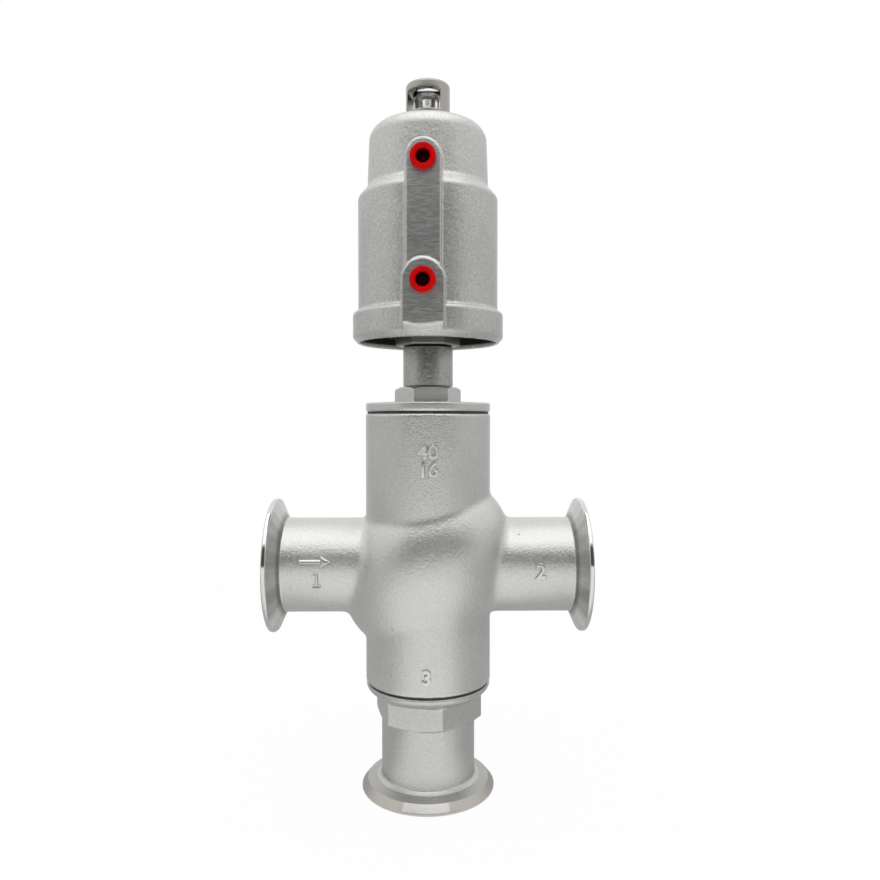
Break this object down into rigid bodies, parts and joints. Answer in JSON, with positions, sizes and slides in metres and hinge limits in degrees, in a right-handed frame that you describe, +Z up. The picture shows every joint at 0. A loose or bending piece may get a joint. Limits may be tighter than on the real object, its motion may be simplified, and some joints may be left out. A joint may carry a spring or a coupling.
{
  "type": "three way valve",
  "caption": "Three way globe valve with clamp ferrule ports; a spring-return piston actuator moves a double-faced plug between two seats.",
  "frame": {"origin": "centre of port C's bore at its ferrule face, the lowest face of the valve", "axes": "+Z up along the stem, +X towards port B; port A points at -X; the air ports face -Y"},
  "size_m": [0.149, 0.0765, 0.3374],
  "materials": {
    "cast_steel": "investment cast stainless steel, glass bead blasted",
    "turned_steel": "turned stainless steel",
    "spring_steel": "drawn spring steel",
    "piston_alloy": "turned aluminium",
    "ptfe": "plain white seal plastic",
    "filled_ptfe": "bronze filled bearing plastic",
    "seal_rubber": "black seal rubber",
    "clear_plastic": "clear moulded plastic",
    "red_plastic": "soft moulded red plastic"
  },
  "bodies": {
    "valve": {"valve_body": "cast_steel", "seat_partition": "cast_steel", "port_a_ferrule": "turned_steel", "port_b_ferrule": "turned_steel", "end_cap_c": "cast_steel", "end_cap_seal": "seal_rubber", "bonnet_cover": "cast_steel", "bonnet_seal": "seal_rubber", "neck_tube": "turned_steel", "lower_guide_bush": "filled_ptfe", "packing_rings": "ptfe", "packing_follower": "turned_steel", "packing_spring": "spring_steel", "gland_bush": "filled_ptfe", "cylinder_base": "turned_steel", "base_rim_seal": "seal_rubber", "base_stem_seal": "seal_rubber", "return_spring": "spring_steel"},
    "actuator": {"actuator_housing": "cast_steel", "base_retaining_ring": "spring_steel", "indicator_guard": "turned_steel", "sight_dome": "clear_plastic", "sight_dome_gasket": "seal_rubber", "indicator_rod_seal": "seal_rubber"},
    "moving_stem": {"stem": "turned_steel", "plug_holder": "turned_steel", "upper_seal_disc": "ptfe", "lower_seal_disc": "ptfe", "upper_clamp_washer": "turned_steel", "lower_clamp_washer": "turned_steel", "plug_nut": "turned_steel", "piston": "piston_alloy", "piston_seal": "seal_rubber", "piston_guide_ring": "filled_ptfe", "piston_washer": "turned_steel", "piston_nut": "turned_steel", "indicator_rod": "turned_steel"},
    "upper_plug": {"dust_plug_upper": "red_plastic"},
    "lower_plug": {"dust_plug_lower": "red_plastic"}
  },
  "joints": [
    {"name": "stem_travel", "type": "slide", "parent": "valve", "child": "moving_stem", "axis": [0, 0, -1], "range_m": [0, 0.012], "stiffness_N_per_m": 9000, "springref_m": -0.0008, "deforming": ["return_spring"]},
    {"name": "actuator_swivel", "type": "hinge", "parent": "valve", "child": "actuator", "pos_m": [0, 0, 0.2269], "axis": [0, 0, 1], "continuous": true},
    {"name": "upper_plug_pull", "type": "slide", "parent": "actuator", "child": "upper_plug", "axis": [-0.061, -0.9981, 0], "range_m": [0, 0.015]},
    {"name": "lower_plug_pull", "type": "slide", "parent": "actuator", "child": "lower_plug", "axis": [-0.061, -0.9981, 0], "range_m": [0, 0.015]}
  ]
}
